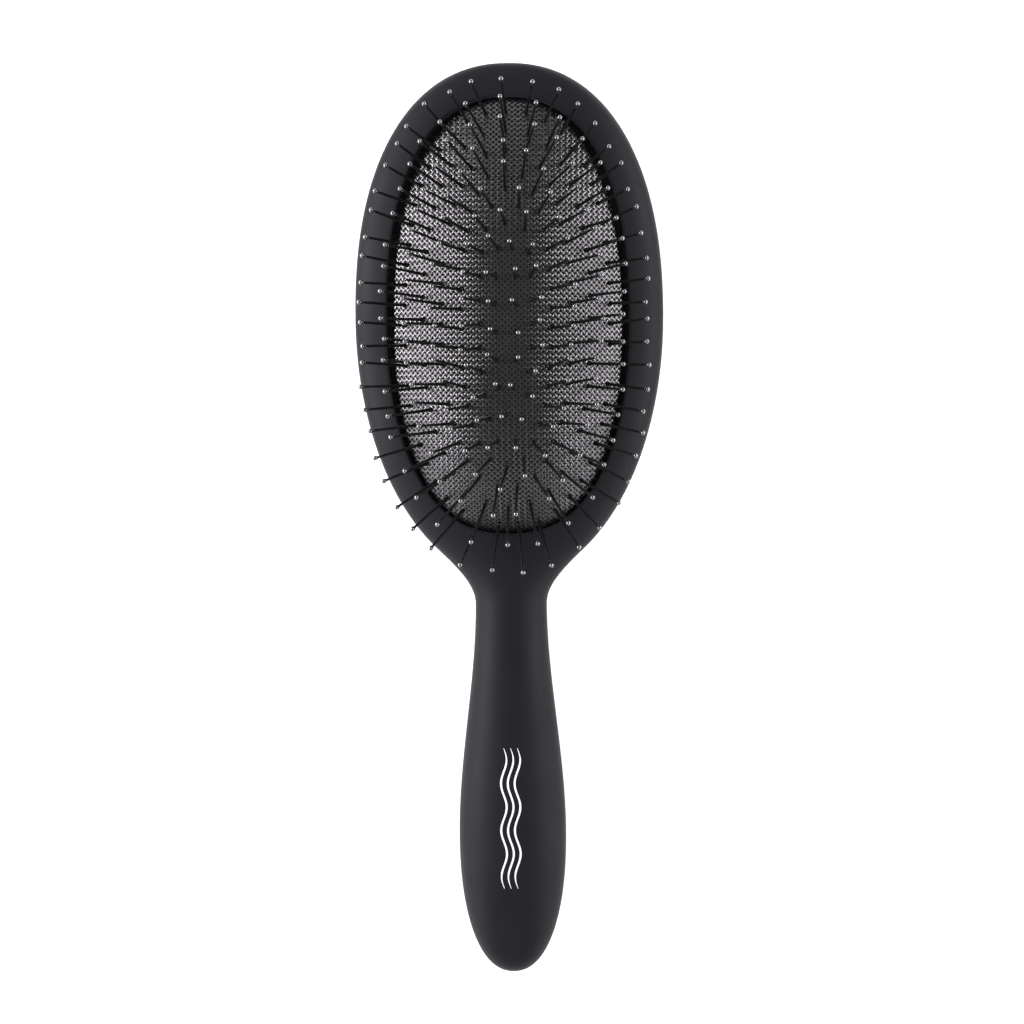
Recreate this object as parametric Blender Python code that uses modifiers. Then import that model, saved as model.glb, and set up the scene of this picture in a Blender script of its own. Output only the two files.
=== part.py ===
"""Paddle brush with an oval air cushion and ball-tipped pins, in metres, +Z up.

The brush lies on its back. +Y runs from the handle to the head, the pins point up, and the origin is
under the middle of the brush's box, on the surface it rests on. Run it with
blender --background --python part.py, or from Blender's text editor.

From the outside in: two moulded shells make the handle and head. The front shell has an oval opening with
a collar behind it. A rubber cushion domes up through the opening, under a cover of mesh fabric. The
cushion's edge, the skirt, is clamped under the collar by a ring and a base plate, which stand on posts in
the back shell. The rubber gives way where it meets its edge, so the two are separate here, and the middle
can be pressed in. Nylon strips of pins lie under the cushion, and the pins stand through the rubber and
the fabric, square to the dome.
"""

import math
import random

import bmesh
import bpy
import numpy as np
from mathutils import Matrix, Vector

# Outline of the brush, seen from above
LENGTH = 0.228
HEAD_WIDTH = 0.0772
HEAD_TOP = 0.063  # from the head's widest line to its free end
HEAD_TAIL = 0.0662  # from the widest line to where the head's ellipse would close
HEAD_TOP_POWER = 2.28
NECK_WIDTH = 0.0179
NECK_BLEND = 0.0139  # length of the curve from the head's ellipse into the neck
NECK_START = 0.0579  # from the widest line to the start of that curve
GRIP_WIDTH = 0.0269
GRIP_END = 0.0354  # from the grip's widest line to the handle's end
END_POWER = 2.25

# Thickness of the brush
PART_Z = 0.009  # height of the joint between the shells
HEAD_RISE = 0.0094
NECK_RISE = 0.0076
GRIP_RISE = 0.0103
HEAD_DROP = 0.0095
NECK_DROP = 0.0078
GRIP_DROP = 0.0093
HEAD_SECTION_POWER = 3.5
HEAD_END_POWER = 5.5
HEAD_BLEND = 0.045  # from the neck to where the head has its full section
GRIP_SECTION_POWER = 2.1
WALL = 0.0022

# Opening in the front shell, and what is clamped behind it
RIM = 0.0087  # from the head's outline to the opening
OPENING_POWER = 2.33
COLLAR_WIDTH = 0.0026
COLLAR_Z = 0.0130
SKIRT_THICKNESS = 0.0014
RING_THICKNESS = 0.0025
RING_SETBACK = 0.0005
PLATE_THICKNESS = 0.0015
VENT_RADIUS = 0.0012
VENT_PITCH = 0.030
POST_RADIUS = 0.0022
POST_COUNT = 6
GAP = 0.0003  # left between pieces that touch

# Cushion
CUSHION_SIDE_GAP = 0.0011
CUSHION_END_GAP = 0.00045
CUSHION_TOP_POWER = 2.1
CUSHION_TAIL_POWER = 2.4
CUSHION_EDGE_Z = 0.0158
CUSHION_RISE = 0.0120
COVER_THICKNESS = 0.0005
CUSHION_THICKNESS = 0.0016
CROWN_SHIFT = -0.0095  # the dome's highest point lies towards the handle

# Pins, in oval rings from the outside in
PINS_IN_RING = (51, 40, 39, 34, 23, 14)
PINS_ON_STRIP = 5
RING_SIDE_MARGIN = 0.0032
RING_END_MARGIN = 0.0028
RING_SHIFT = -0.0010
INNER_RING_HALF_WIDTH = 0.0026
INNER_RING_PULL = 0.75  # extra ring steps that the innermost ring is shorter by
OUTER_RING_POWER = 2.4
RING_POWER_STEP = -0.08
PIN_LENGTH = 0.0185
PIN_RADIUS = 0.0003
BALL_RADIUS = 0.00058
BALL_LENGTH = 0.0016
BALL_END_SHARE = 0.45
PIN_HOLE_RADIUS = 0.00106
PIN_HOLE_SIDES = 3
LEAN_AT_TOP = 0.39  # the pins' largest lean as a share of their length, at the head's free end,
LEAN_AT_MIDDLE = 0.56  # in the middle
LEAN_AT_TAIL = 0.64  # and next to the handle
LEAN_POWER = 6.0  # how suddenly the lean stops growing
PIN_STRAY = 0.05  # largest random lean, as a share of the pin's length
PIN_SEED = 7
STRIP_WIDTH = 0.0014
STRIP_THICKNESS = 0.0010
STRIP_END = 0.0011
STRIP_CLEARANCE = 0.0010

# Fineness of the meshes
BODY_STATIONS = 56
BODY_SIDES = 16
CAVITY_STATIONS = 32
CAVITY_SIDES = 12
OVAL_SIDES = 48
CUSHION_SPOKES = 24
CUSHION_RINGS = 6
POST_SIDES = 12
ARC_SAMPLES = 720
PROBE = 1e-5  # step for measuring a slope

HEAD_Y = LENGTH / 2 - HEAD_TOP
NECK_TOP_Y = HEAD_Y - NECK_START
NECK_Y = NECK_TOP_Y - NECK_BLEND
GRIP_Y = GRIP_END - LENGTH / 2
OPENING_HALF_WIDTH = HEAD_WIDTH / 2 - RIM
OPENING_HALF_LENGTH = HEAD_TOP - RIM
CUSHION_HALF_WIDTH = OPENING_HALF_WIDTH - CUSHION_SIDE_GAP
CUSHION_HALF_LENGTH = OPENING_HALF_LENGTH - CUSHION_END_GAP
SKIRT_TOP_Z = COLLAR_Z - GAP
RING_TOP_Z = SKIRT_TOP_Z - SKIRT_THICKNESS - GAP
PLATE_TOP_Z = RING_TOP_Z - RING_THICKNESS - GAP
POST_TOP_Z = PLATE_TOP_Z - PLATE_THICKNESS - GAP
CUSHION_DEPTH = COVER_THICKNESS + GAP  # from the cover's face to the rubber's


# Curves that the shapes follow

def closing(share, power):
    """Height of a superellipse of unit height at this share of its half-length."""
    return max(0.0, 1.0 - min(1.0, abs(share)) ** power) ** (1.0 / power)


def smooth_step(share):
    share = min(1.0, max(0.0, share))
    return share * share * (3.0 - 2.0 * share)


def tail_half_width(y):
    return HEAD_WIDTH / 2 * closing((HEAD_Y - y) / HEAD_TAIL, 2.0)


def half_width(y):
    """Half the width of the brush's outline at y."""
    if y >= HEAD_Y:
        return HEAD_WIDTH / 2 * closing((y - HEAD_Y) / HEAD_TOP, HEAD_TOP_POWER)
    if y >= NECK_TOP_Y:
        return tail_half_width(y)
    if y >= NECK_Y:
        start = tail_half_width(NECK_TOP_Y)
        slope = (tail_half_width(NECK_TOP_Y + PROBE) - start) / PROBE
        share = (NECK_TOP_Y - y) / NECK_BLEND
        ease = share * (1.0 - share) ** 2
        return start + (NECK_WIDTH / 2 - start) * smooth_step(share) - slope * NECK_BLEND * ease
    if y >= GRIP_Y:
        share = smooth_step((NECK_Y - y) / (NECK_Y - GRIP_Y))
        return (NECK_WIDTH + (GRIP_WIDTH - NECK_WIDTH) * share) / 2
    return GRIP_WIDTH / 2 * closing((GRIP_Y - y) / GRIP_END, END_POWER)


def along_handle(y, head, neck, grip):
    """A value that runs smoothly from the head's to the neck's and then the grip's."""
    if y >= NECK_Y:
        return neck + (head - neck) * smooth_step((y - NECK_Y) / HEAD_BLEND)
    return neck + (grip - neck) * smooth_step((NECK_Y - y) / (NECK_Y - GRIP_Y))


def ends_closing(y):
    if y > HEAD_Y:
        return closing((y - HEAD_Y) / HEAD_TOP, HEAD_END_POWER)
    return closing((GRIP_Y - y) / GRIP_END, END_POWER) if y < GRIP_Y else 1.0


def body_point(y, turn, inset):
    """Point on the brush's outer form, drawn in by inset. Turn 0 is at +X and a quarter turn is the front."""
    width = max(half_width(y) - inset, 0.0)
    depths = (HEAD_RISE, NECK_RISE, GRIP_RISE) if turn > 0 else (HEAD_DROP, NECK_DROP, GRIP_DROP)
    depth = max(along_handle(y, *depths) * ends_closing(y) - inset, 0.0)
    power = along_handle(y, HEAD_SECTION_POWER, GRIP_SECTION_POWER, GRIP_SECTION_POWER)
    share = math.cos(turn)
    z = PART_Z + math.copysign(depth * closing(share, power), math.sin(turn))
    return Vector((width * share, y, max(z, inset)))


def oval_radius(x, y, half_x, half_y, power):
    """0 at the oval's middle and 1 on its outline."""
    return (abs(x / half_x) ** power + abs(y / half_y) ** power) ** (1.0 / power)


def oval_point(turn, half_x, half_y, power):
    """Point of an oval about the head's middle. Turn 0 is at +X."""
    x, y = math.cos(turn), math.sin(turn)
    radius = 1.0 / oval_radius(x, y, 1.0, 1.0, power)
    return Vector((half_x * x * radius, HEAD_Y + half_y * y * radius, 0.0))


def cushion_edge(turn, grow=0.0):
    power = CUSHION_TOP_POWER if math.sin(turn) > 0 else CUSHION_TAIL_POWER
    return oval_point(turn, CUSHION_HALF_WIDTH + grow, CUSHION_HALF_LENGTH + grow, power)


def cushion_radius(x, y):
    """0 at the cushion's middle and 1 at its edge, for a point measured from the head's middle."""
    power = CUSHION_TOP_POWER if y > 0 else CUSHION_TAIL_POWER
    return oval_radius(x, y, CUSHION_HALF_WIDTH, CUSHION_HALF_LENGTH, power)


def cushion_height(x, y):
    """Height of the cushion's face. It is round across the brush and flatter along it."""
    y -= HEAD_Y
    y -= CROWN_SHIFT * (1.0 - min(1.0, cushion_radius(x, y)) ** 2)
    across = (x / CUSHION_HALF_WIDTH) ** 2
    along = (y / CUSHION_HALF_LENGTH) ** 2
    end_share = along / max(across + along, PROBE)
    drop = cushion_radius(x, y) ** (2.0 + 2.0 * end_share)
    return CUSHION_EDGE_Z + CUSHION_RISE * (1.0 - drop)


def cushion_normal(x, y):
    slope_x = (cushion_height(x + PROBE, y) - cushion_height(x - PROBE, y)) / (2 * PROBE)
    slope_y = (cushion_height(x, y + PROBE) - cushion_height(x, y - PROBE)) / (2 * PROBE)
    return Vector((-slope_x, -slope_y, 1.0)).normalized()


def pin_direction(x, y):
    """Square to the cushion, but the pins at its steep edge lean less than the rubber does."""
    normal = cushion_normal(x, y)
    along = (y - HEAD_Y) / CUSHION_HALF_LENGTH
    limit = LEAN_AT_MIDDLE + abs(along) * ((LEAN_AT_TOP if along > 0 else LEAN_AT_TAIL) - LEAN_AT_MIDDLE)
    lean = normal.xy.length
    share = (1.0 + (lean / limit) ** LEAN_POWER) ** (-1.0 / LEAN_POWER)
    return Vector((normal.x * share, normal.y * share, math.sqrt(1.0 - (lean * share) ** 2)))


# Objects and modifiers

def material(name, colour, roughness, metallic=0.0):
    made = bpy.data.materials.new(name)
    made.use_nodes = True
    shader = made.node_tree.nodes["Principled BSDF"]
    shader.inputs["Base Color"].default_value = (*colour, 1.0)
    shader.inputs["Roughness"].default_value = roughness
    shader.inputs["Metallic"].default_value = metallic
    return made


def collection(name, hidden=False):
    made = bpy.data.collections.new(name)
    bpy.context.scene.collection.children.link(made)
    made.hide_render = hidden
    return made


def add_object(name, data, home, finish=None):
    """Adds the object, as a hidden helper if it has no finish."""
    obj = bpy.data.objects.new(name, data)
    home.objects.link(obj)
    if finish:
        data.materials.append(finish)
    else:
        obj.hide_render = True
        obj.display_type = "WIRE"
    return obj


def mesh_from(bm, name):
    bmesh.ops.recalc_face_normals(bm, faces=bm.faces)
    mesh = bpy.data.meshes.new(name)
    bm.to_mesh(mesh)
    bm.free()
    return mesh


def boolean(obj, other, operation="DIFFERENCE"):
    modifier = obj.modifiers.new(operation.lower(), "BOOLEAN")
    modifier.operation = operation
    modifier.object = other


def shade_round(obj):
    obj.data.shade_smooth()
    obj.data.set_sharp_from_angle(angle=math.radians(40))


# Shapes

def body_mesh(name, inset, stations, sides, front):
    """Front or back half of the outer form: a sphere whose rings are moved to the brush's sections."""
    bm = bmesh.new()
    bmesh.ops.create_uvsphere(bm, u_segments=sides, v_segments=stations, radius=1.0)
    for vert in bm.verts:
        y = (LENGTH / 2 - inset) * vert.co.z
        vert.co = body_point(y, math.atan2(vert.co.y, vert.co.x), inset)
    # The shells stop short of the joint, and a cavity runs past it.
    side = 1.0 if front else -1.0
    reach = -WALL / 2 if inset else GAP / 2
    cut = bmesh.ops.bisect_plane(
        bm, geom=bm.verts[:] + bm.edges[:] + bm.faces[:], dist=PROBE,
        plane_co=(0.0, 0.0, PART_Z + side * max(reach, 0.0)), plane_no=(0.0, 0.0, side), clear_inner=True,
    )
    rim = [item for item in cut["geom_cut"] if isinstance(item, bmesh.types.BMEdge)]
    cap = bmesh.ops.contextual_create(bm, geom=rim)["faces"]
    if reach < 0:
        grown = bmesh.ops.extrude_face_region(bm, geom=cap)["geom"]
        verts = [item for item in grown if isinstance(item, bmesh.types.BMVert)]
        bmesh.ops.translate(bm, verts=verts, vec=(0.0, 0.0, side * reach))
        bmesh.ops.delete(bm, geom=cap, context="FACES")
    return mesh_from(bm, name)


def oval_prism_mesh(name, grow, low, high):
    """Upright prism on the opening's outline, grown by grow."""
    bm = bmesh.new()
    bmesh.ops.create_cone(bm, cap_ends=True, segments=OVAL_SIDES, radius1=1.0, radius2=1.0, depth=1.0)
    for vert in bm.verts:
        point = oval_point(
            math.atan2(vert.co.y, vert.co.x), OPENING_HALF_WIDTH + grow, OPENING_HALF_LENGTH + grow, OPENING_POWER
        )
        vert.co = (point.x, point.y, high if vert.co.z > 0 else low)
    return mesh_from(bm, name)


def add_outline(curve, points):
    spline = curve.splines.new("POLY")
    spline.points.add(len(points) - 1)
    for place, point in zip(spline.points, points):
        place.co = (point.x, point.y, 0.0, 1.0)
    spline.use_cyclic_u = True


def oval_outline(grow):
    turns = [math.tau * step / OVAL_SIDES for step in range(OVAL_SIDES)]
    half_x, half_y = OPENING_HALF_WIDTH + grow, OPENING_HALF_LENGTH + grow
    return [oval_point(turn, half_x, half_y, OPENING_POWER) for turn in turns]


def cushion_outline(grow):
    turns = [math.tau * step / OVAL_SIDES for step in range(OVAL_SIDES)]
    return [cushion_edge(turn, grow) for turn in turns]


def round_outline(x, y, radius):
    turns = [math.tau * step / POST_SIDES for step in range(POST_SIDES)]
    return [Vector((x + radius * math.cos(turn), y + radius * math.sin(turn), 0.0)) for turn in turns]


def flat_piece(name, outlines, high, thickness, home, finish):
    """Plate of this thickness with its face at high. Every outline after the first is a hole."""
    curve = bpy.data.curves.new(name, "CURVE")
    curve.dimensions = "2D"
    curve.fill_mode = "BOTH"
    curve.extrude = thickness / 2
    for outline in outlines:
        add_outline(curve, outline)
    obj = add_object(name, curve, home, finish)
    obj.location.z = high - thickness / 2
    return obj


def post_places():
    """Middles of the posts, evenly round the base plate's edge."""
    grow = COLLAR_WIDTH - 2 * POST_RADIUS
    for post in range(POST_COUNT):
        turn = math.tau * (post + 0.5) / POST_COUNT
        yield oval_point(turn, OPENING_HALF_WIDTH + grow, OPENING_HALF_LENGTH + grow, OPENING_POWER)


def shells(home, helpers, finish):
    """The two halves of the handle and head. Collar and posts are what their cavities leave standing."""
    collar = add_object(
        "collar_space", oval_prism_mesh("collar_space", COLLAR_WIDTH, COLLAR_Z, PART_Z + 2 * HEAD_RISE), helpers
    )
    front_cavity = add_object(
        "front_cavity", body_mesh("front_cavity", WALL, CAVITY_STATIONS, CAVITY_SIDES, True), helpers
    )
    boolean(front_cavity, collar)
    opening = add_object(
        "opening_cut", oval_prism_mesh("opening_cut", 0.0, PART_Z - WALL, PART_Z + 2 * HEAD_RISE), helpers
    )
    front = add_object("front_shell", body_mesh("front_shell", 0.0, BODY_STATIONS, BODY_SIDES, True), home, finish)
    # The stack behind the collar keeps its room where the wall comes close to it.
    stack_room = add_object(
        "stack_room", oval_prism_mesh("stack_room", COLLAR_WIDTH, PART_Z - WALL, COLLAR_Z), helpers
    )
    boolean(front, front_cavity)
    boolean(front, stack_room)
    boolean(front, opening)

    back_cavity = add_object(
        "back_cavity", body_mesh("back_cavity", WALL, CAVITY_STATIONS, CAVITY_SIDES, False), helpers
    )
    bm = bmesh.new()
    for place in post_places():
        made = bmesh.ops.create_cone(
            bm, cap_ends=True, segments=POST_SIDES, radius1=POST_RADIUS, radius2=POST_RADIUS, depth=POST_TOP_Z
        )
        bmesh.ops.translate(bm, verts=made["verts"], vec=(place.x, place.y, POST_TOP_Z / 2))
    posts = add_object("post_space", mesh_from(bm, "post_space"), helpers)
    boolean(back_cavity, posts)
    back = add_object("back_shell", body_mesh("back_shell", 0.0, BODY_STATIONS, BODY_SIDES, False), home, finish)
    boolean(back, back_cavity)
    for shell in (front, back):
        shade_round(shell)


def clamp_stack(home, rubber, plastic):
    """Skirt, ring and plate, one under the other behind the collar."""
    flat_piece(
        "cushion_skirt", [oval_outline(COLLAR_WIDTH - GAP), cushion_outline(GAP)],
        SKIRT_TOP_Z, SKIRT_THICKNESS, home, rubber,
    )
    flat_piece(
        "retaining_ring", [oval_outline(COLLAR_WIDTH - GAP), oval_outline(RING_SETBACK)],
        RING_TOP_Z, RING_THICKNESS, home, plastic,
    )
    vents = [round_outline(0.0, HEAD_Y + side * VENT_PITCH / 2, VENT_RADIUS) for side in (-1, 1)]
    flat_piece(
        "base_plate", [oval_outline(COLLAR_WIDTH - GAP), *vents], PLATE_TOP_Z, PLATE_THICKNESS, home, plastic
    )


def dome_mesh(name, depth):
    """Open dome this deep under the cover's face: half a sphere whose rings are moved out to the oval."""
    bm = bmesh.new()
    bmesh.ops.create_uvsphere(bm, u_segments=CUSHION_SPOKES, v_segments=2 * CUSHION_RINGS, radius=1.0)
    bmesh.ops.delete(bm, geom=[vert for vert in bm.verts if vert.co.z < -PROBE], context="VERTS")
    for vert in bm.verts:
        share = math.acos(min(1.0, max(0.0, vert.co.z))) / (math.pi / 2)
        edge = cushion_edge(math.atan2(vert.co.y, vert.co.x))
        x, y = edge.x * share, HEAD_Y + (edge.y - HEAD_Y) * share
        vert.co = Vector((x, y, cushion_height(x, y))) - cushion_normal(x, y) * depth
    return mesh_from(bm, name)


def ring_points(ring):
    """Places of one ring's pins, evenly along its oval, starting on the axis at the head's free end."""
    outer_half_width = CUSHION_HALF_WIDTH - RING_SIDE_MARGIN
    step = (outer_half_width - INNER_RING_HALF_WIDTH) / (len(PINS_IN_RING) - 1.2)
    half_x = max(outer_half_width - ring * step, INNER_RING_HALF_WIDTH)
    half_y = CUSHION_HALF_LENGTH - RING_END_MARGIN - ring * step
    if ring == len(PINS_IN_RING) - 1:
        half_y -= INNER_RING_PULL * step
    power = OUTER_RING_POWER + ring * RING_POWER_STEP
    turns = math.pi / 2 - np.linspace(0.0, math.tau, ARC_SAMPLES + 1)
    outline = np.array([oval_point(turn, half_x, half_y, power)[:2] for turn in turns])
    lengths = np.concatenate([[0.0], np.cumsum(np.linalg.norm(np.diff(outline, axis=0), axis=1))])
    wanted = lengths[-1] * np.arange(PINS_IN_RING[ring]) / PINS_IN_RING[ring]
    xs = np.interp(wanted, lengths, outline[:, 0])
    ys = np.interp(wanted, lengths, outline[:, 1]) + RING_SHIFT
    return [(float(x), float(y)) for x, y in zip(xs, ys)]


def pin_rings():
    """For each ring, the foot on the cushion's face and the direction of each pin."""
    chance = random.Random(PIN_SEED)
    rings = []
    for ring in range(len(PINS_IN_RING)):
        pins = []
        for x, y in ring_points(ring):
            stray = Vector((chance.uniform(-1, 1), chance.uniform(-1, 1), 0.0)) * PIN_STRAY
            direction = (pin_direction(x, y) + stray).normalized()
            pins.append((Vector((x, y, cushion_height(x, y))), direction))
        rings.append(pins)
    return rings


def square_round(centre, axis, along, radius):
    """Corners of a square across axis, the first two on its +along side."""
    across = axis.cross(along).normalized() * radius
    ahead = across.cross(axis).normalized() * radius
    return [centre - across - ahead, centre + across - ahead, centre + across + ahead, centre - across + ahead]


def strip_frames(pins):
    """Centre, direction and up of the strip at each pin, and at the cell borders between and beyond them."""
    depth = CUSHION_DEPTH + CUSHION_THICKNESS + STRIP_CLEARANCE + STRIP_THICKNESS / 2
    centres = [foot - direction * depth for foot, direction in pins]
    ups = [direction for _, direction in pins]
    tangents = [
        (centres[min(i + 1, len(pins) - 1)] - centres[max(i - 1, 0)]).normalized() for i in range(len(pins))
    ]
    cells = list(zip(centres, tangents, ups))
    borders = [(centres[0] - tangents[0] * STRIP_END, tangents[0], ups[0])]
    for i in range(len(pins) - 1):
        middle = (centres[i] + centres[i + 1]) / 2
        borders.append((middle, (centres[i + 1] - centres[i]).normalized(), (ups[i] + ups[i + 1]).normalized()))
    borders.append((centres[-1] + tangents[-1] * STRIP_END, tangents[-1], ups[-1]))
    return cells, borders


def strip_mesh(name, pins):
    """A bar with one cell for each pin. Each pin is drawn out of its cell by an inset and extrusions."""
    bm = bmesh.new()
    cells, borders = strip_frames(pins)
    rails = []
    for centre, along, up in borders:
        across = up.cross(along).normalized() * STRIP_WIDTH / 2
        rise = along.cross(across).normalized() * STRIP_THICKNESS / 2
        corners = (centre - across + rise, centre + across + rise, centre + across - rise, centre - across - rise)
        rails.append([bm.verts.new(corner) for corner in corners])
    tops = []
    for near, far in zip(rails, rails[1:]):
        for side in range(4):
            following = (side + 1) % 4
            face = bm.faces.new((near[side], near[following], far[following], far[side]))
            if side == 0:
                tops.append(face)
    bm.faces.new(rails[0])
    bm.faces.new(rails[-1])
    rings = (
        (PIN_LENGTH - BALL_LENGTH, PIN_RADIUS),
        (PIN_LENGTH - BALL_LENGTH / 2, BALL_RADIUS),
        (PIN_LENGTH, BALL_RADIUS * BALL_END_SHARE),
    )
    for top, (centre, along, _), (foot, direction) in zip(tops, cells, pins):
        bmesh.ops.inset_individual(bm, faces=[top], thickness=PIN_RADIUS)
        root = centre + direction * STRIP_THICKNESS / 2
        place_corners(top, square_round(root, direction, along, PIN_RADIUS))
        for height, radius in rings:
            top = bmesh.ops.extrude_discrete_faces(bm, faces=[top])["faces"][0]
            place_corners(top, square_round(foot + direction * height, direction, along, radius))
    return mesh_from(bm, name)


def place_corners(face, corners):
    """Moves the face's corners to the given ones, in the turn that moves them least."""
    verts = list(face.verts)
    turns = [corners[i:] + corners[:i] for i in range(4)] + [corners[::-1][i:] + corners[::-1][:i] for i in range(4)]
    middle = face.calc_center_median()
    aim = sum(corners, Vector()) / 4
    best = min(
        turns, key=lambda turn: sum((v.co - middle - (c - aim)).length_squared for v, c in zip(verts, turn))
    )
    for vert, corner in zip(verts, best):
        vert.co = corner


def pin_hole_mesh(name, rings):
    """Prisms along all pins, through the cover and the cushion."""
    bm = bmesh.new()
    reach = CUSHION_DEPTH + 2 * CUSHION_THICKNESS
    for foot, direction in (pin for pins in rings for pin in pins):
        middle = foot + direction * (CUSHION_THICKNESS - reach) / 2
        bmesh.ops.create_cone(
            bm, cap_ends=True, segments=PIN_HOLE_SIDES, radius1=PIN_HOLE_RADIUS, radius2=PIN_HOLE_RADIUS,
            depth=CUSHION_THICKNESS + reach,
            matrix=Matrix.Translation(middle) @ direction.to_track_quat("Z", "Y").to_matrix().to_4x4(),
        )
    return mesh_from(bm, name)


def cushion(home, helpers, rubber, fabric, rings):
    """Rubber dome and the mesh fabric on its face, with a hole for each pin."""
    holes = add_object("pin_holes", pin_hole_mesh("pin_holes", rings), helpers)
    layers = (("cushion_pad", CUSHION_DEPTH, CUSHION_THICKNESS, rubber), ("mesh_cover", 0.0, COVER_THICKNESS, fabric))
    for name, depth, thickness, finish in layers:
        layer = add_object(name, dome_mesh(name, depth), home, finish)
        shell = layer.modifiers.new("thickness", "SOLIDIFY")
        shell.thickness = thickness
        shell.offset = -1.0
        boolean(layer, holes)
        shade_round(layer)


def pin_strips(home, nylon, rings):
    for ring, pins in enumerate(rings):
        letter = chr(ord("a") + ring)
        count = round(len(pins) / PINS_ON_STRIP)
        for number, group in enumerate(np.array_split(np.arange(len(pins)), count), start=1):
            name = f"pin_strip_{letter}{number:02d}"
            add_object(name, strip_mesh(name, [pins[i] for i in group]), home, nylon)


def main():
    for obj in list(bpy.data.objects):
        bpy.data.objects.remove(obj)
    home = collection("paddle_brush")
    helpers = collection("cutters", hidden=True)
    soft_touch = material("soft_touch_black", (0.022, 0.022, 0.025), 0.5)
    inner_plastic = material("inner_black_plastic", (0.03, 0.03, 0.03), 0.4)
    rubber = material("black_rubber", (0.025, 0.024, 0.025), 0.6)
    fabric = material("black_mesh_fabric", (0.03, 0.028, 0.031), 0.7)
    nylon = material("black_nylon", (0.012, 0.012, 0.013), 0.22)
    rings = pin_rings()
    shells(home, helpers, soft_touch)
    clamp_stack(home, rubber, inner_plastic)
    cushion(home, helpers, rubber, fabric, rings)
    pin_strips(home, nylon, rings)


main()
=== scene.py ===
"""Looks of the paddle brush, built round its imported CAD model, in metres, +Z up.

The CAD solids give the places and the motion. Here the handle and head get smooth shells with a rounded lip,
the cushion gets its rolled edge and a woven mesh cover whose threads part round every pin, and each strip of
pins gets round, tapered pins with teardrop balls. The shapes follow the same curves as the CAD, so the first
two groups of sizes below are the CAD's.
"""

import math
import random

import bmesh
import bpy
import numpy as np
from mathutils import Matrix, Vector


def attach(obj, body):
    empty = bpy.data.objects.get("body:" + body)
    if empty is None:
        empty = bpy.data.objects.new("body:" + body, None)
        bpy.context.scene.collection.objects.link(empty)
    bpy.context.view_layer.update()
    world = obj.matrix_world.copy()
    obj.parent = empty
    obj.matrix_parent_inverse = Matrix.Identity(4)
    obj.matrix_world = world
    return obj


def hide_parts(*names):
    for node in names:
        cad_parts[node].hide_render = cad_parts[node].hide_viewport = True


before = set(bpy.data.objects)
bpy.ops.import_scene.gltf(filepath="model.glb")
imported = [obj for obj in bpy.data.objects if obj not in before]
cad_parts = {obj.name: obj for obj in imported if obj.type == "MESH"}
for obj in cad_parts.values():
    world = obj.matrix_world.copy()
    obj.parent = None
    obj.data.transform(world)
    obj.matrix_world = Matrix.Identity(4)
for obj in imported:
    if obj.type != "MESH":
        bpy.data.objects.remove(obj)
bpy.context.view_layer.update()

BODY, CUSHION = "brush_body", "cushion"
MM = 0.001

# Outline and thickness of the brush, as in the CAD
LENGTH = 0.228
HEAD_WIDTH = 0.0772
HEAD_TOP = 0.063
HEAD_TAIL = 0.0662
HEAD_TOP_POWER = 2.28
NECK_WIDTH = 0.0179
NECK_BLEND = 0.0139
NECK_START = 0.0579
GRIP_WIDTH = 0.0269
GRIP_END = 0.0354
END_POWER = 2.25
PART_Z = 0.009
HEAD_RISE = 0.0094
NECK_RISE = 0.0076
GRIP_RISE = 0.0103
HEAD_DROP = 0.0095
NECK_DROP = 0.0078
GRIP_DROP = 0.0093
HEAD_SECTION_POWER = 3.5
HEAD_END_POWER = 5.5
HEAD_BLEND = 0.045
GRIP_SECTION_POWER = 2.1
RIM = 0.0087
OPENING_POWER = 2.33
COLLAR_Z = 0.0130

# Cushion and pins, as in the CAD
CUSHION_SIDE_GAP = 0.0011
CUSHION_END_GAP = 0.00045
CUSHION_TOP_POWER = 2.1
CUSHION_TAIL_POWER = 2.4
CUSHION_EDGE_Z = 0.0158
CUSHION_RISE = 0.0120
CROWN_SHIFT = -0.0095
PINS_IN_RING = (51, 40, 39, 34, 23, 14)
PINS_ON_STRIP = 5
RING_SIDE_MARGIN = 0.0032
RING_END_MARGIN = 0.0028
RING_SHIFT = -0.0010
INNER_RING_HALF_WIDTH = 0.0026
INNER_RING_PULL = 0.75
OUTER_RING_POWER = 2.4
RING_POWER_STEP = -0.08
PIN_LENGTH = 0.0185
LEAN_AT_TOP = 0.39
LEAN_AT_MIDDLE = 0.56
LEAN_AT_TAIL = 0.64
LEAN_POWER = 6.0
PIN_STRAY = 0.05
PIN_SEED = 7
ARC_SAMPLES = 720
PROBE = 1e-5

HEAD_Y = LENGTH / 2 - HEAD_TOP
NECK_TOP_Y = HEAD_Y - NECK_START
NECK_Y = NECK_TOP_Y - NECK_BLEND
GRIP_Y = GRIP_END - LENGTH / 2
OPENING_HALF_WIDTH = HEAD_WIDTH / 2 - RIM
OPENING_HALF_LENGTH = HEAD_TOP - RIM
CUSHION_HALF_WIDTH = OPENING_HALF_WIDTH - CUSHION_SIDE_GAP
CUSHION_HALF_LENGTH = OPENING_HALF_LENGTH - CUSHION_END_GAP

# Shells
SEAM = 0.00012  # width of the line where the shells meet
SKIN = 0.0007  # thickness of the visible shells
LIP_RADIUS = 0.00035
JOIN_Y = -0.008  # where the head's grid passes into the handle's
RIM_SPOKES = 220
HANDLE_COLUMNS = 44
TOP_ROWS = 30
LIP_ROWS = 6
HANDLE_ROWS = 120
BACK_STATIONS = 240
BACK_COLUMNS = 56
FLOOR_EASE = 0.0004  # how softly the back turns into its flat

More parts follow.
